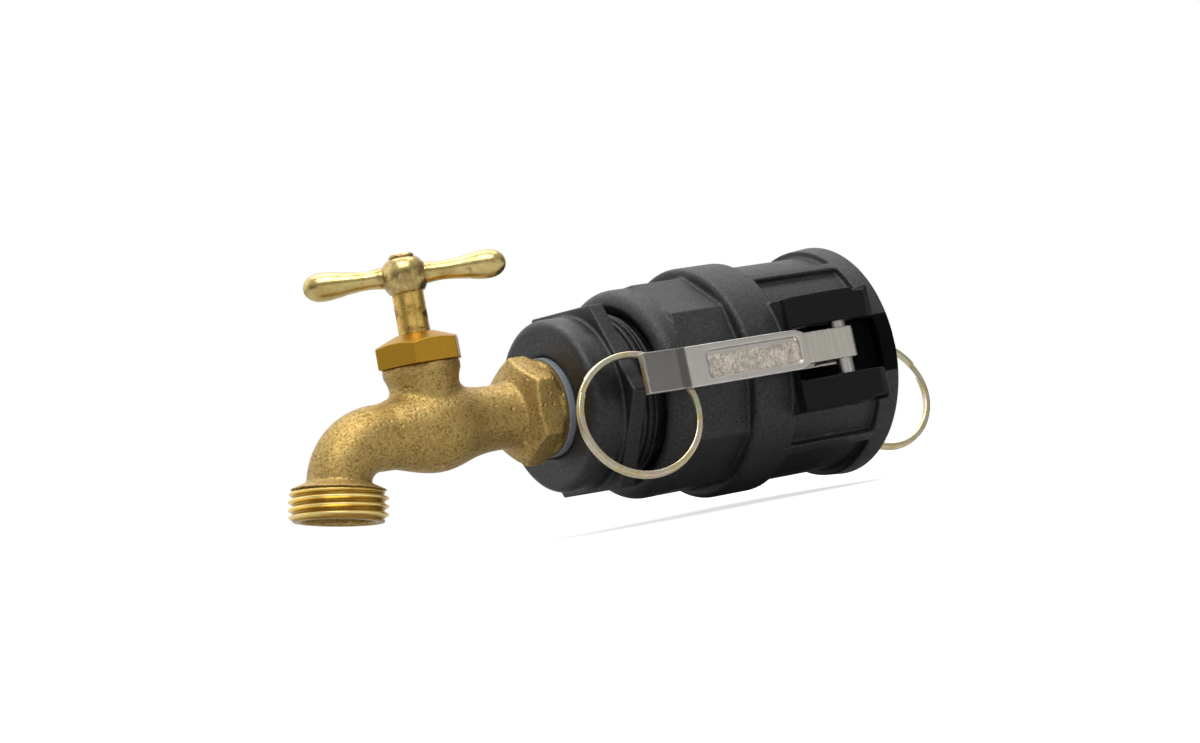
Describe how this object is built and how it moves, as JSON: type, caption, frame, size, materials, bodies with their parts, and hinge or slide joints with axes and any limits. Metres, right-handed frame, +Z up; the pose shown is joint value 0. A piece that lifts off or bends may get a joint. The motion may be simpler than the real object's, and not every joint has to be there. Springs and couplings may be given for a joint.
{
  "type": "can spigot",
  "caption": "Brass hose tap on a black plastic cam-lock coupler: tee handle, screwed reducer, two steel cam levers with pull rings.",
  "frame": {"origin": "centre of the coupler's mouth, where the can's outlet adapter goes in", "axes": "+X out of the mouth towards the can, so the tap and its spout are on the -X side; +Z up the tap's stem; -Y towards the closed lever"},
  "size_m": [0.2503, 0.0912, 0.0815],
  "materials": {
    "cast_brass": "sand-cast, lightly polished",
    "bright_brass": "forged and tumbled bright",
    "turned_brass": "turned",
    "black_plastic": "moulded, fine grained",
    "lever_steel": "cast and vibratory finished, brushed neck",
    "pin_steel": "drawn",
    "plated_wire": "yellow zinc plated",
    "grey_fibre": "matte",
    "black_rubber": "matte",
    "graphite_packing": "braided, greased"
  },
  "bodies": {
    "coupler": {"coupler_body": "black_plastic", "coupler_gasket": "black_rubber", "near_pivot_pin": "pin_steel", "far_pivot_pin": "pin_steel", "reducing_bushing": "black_plastic", "inlet_seal_washer": "grey_fibre", "spigot_body": "cast_brass", "packing_nut": "turned_brass", "packing_washer": "turned_brass", "stem_packing": "graphite_packing", "packing_follower": "turned_brass"},
    "stem_lift": {"seat_washer": "black_rubber"},
    "handle": {"valve_stem": "turned_brass", "tee_handle": "bright_brass", "handle_cap": "bright_brass", "seat_washer_screw": "turned_brass"},
    "near_lever": {"near_cam_lever": "lever_steel"},
    "far_lever": {"far_cam_lever": "lever_steel"},
    "near_ring": {"near_pull_ring": "plated_wire"},
    "far_ring": {"far_pull_ring": "plated_wire"}
  },
  "joints": [
    {"name": "stem_lift", "type": "slide", "parent": "coupler", "child": "stem_lift", "axis": [0, 0, 1], "range_m": [0, 0.0055]},
    {"name": "handle_turn", "type": "hinge", "parent": "stem_lift", "child": "handle", "pos_m": [-0.1372, 0, 0.0418], "axis": [0, 0, 1], "range_deg": [0, 900]},
    {"name": "near_lever_swing", "type": "hinge", "parent": "coupler", "child": "near_lever", "pos_m": [-0.022, -0.03644, 0.0021], "axis": [0, 0.0576, 0.9983], "range_deg": [0, 178]},
    {"name": "far_lever_swing", "type": "hinge", "parent": "coupler", "child": "far_lever", "pos_m": [-0.022, 0.03644, -0.0021], "axis": [0, -0.0576, -0.9983], "range_deg": [-178, 0]},
    {"name": "near_ring_swing", "type": "hinge", "parent": "near_lever", "child": "near_ring", "pos_m": [-0.0776, -0.03328, 0.00312], "axis": [0, 0.0576, 0.9983], "range_deg": [0, 27]},
    {"name": "far_ring_swing", "type": "hinge", "parent": "far_lever", "child": "far_ring", "pos_m": [0.03466, 0.04151, -0.00239], "axis": [0, 0.0576, 0.9983], "range_deg": [-10, 15]}
  ],
  "couplings": [
    {"joint": "handle_turn", "follows": "stem_lift", "rad_per_m": 2856}
  ]
}
